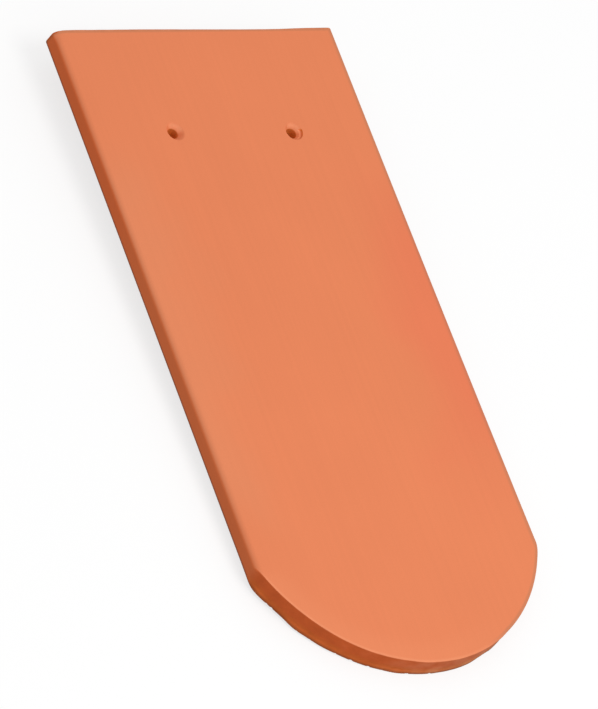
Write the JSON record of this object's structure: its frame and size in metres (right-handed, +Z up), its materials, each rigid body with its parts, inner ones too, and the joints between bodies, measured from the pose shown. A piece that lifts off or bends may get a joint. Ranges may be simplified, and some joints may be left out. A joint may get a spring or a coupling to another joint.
{
  "type": "clay roof tile",
  "caption": "Flat one-piece clay roof tile with a segment-rounded tail, funnelled nail holes near the head and a hanging nib on the back.",
  "frame": {"origin": "on the floor under the middle of the tile's outer box, with the tile lying face up on its nib and the tip of its tail", "axes": "+Y from the tail to the head, +Z up, +X to the right looking towards the head; the tile leans up 2.23 degrees towards its head"},
  "size_m": [0.18, 0.3802, 0.0273],
  "materials": {
    "fired_clay": "natural red unglazed fired clay, matt and faintly grainy, smoother on the weather face than on the cut edges"
  },
  "bodies": {
    "root": {"roof_tile": "fired_clay"}
  },
  "joints": []
}
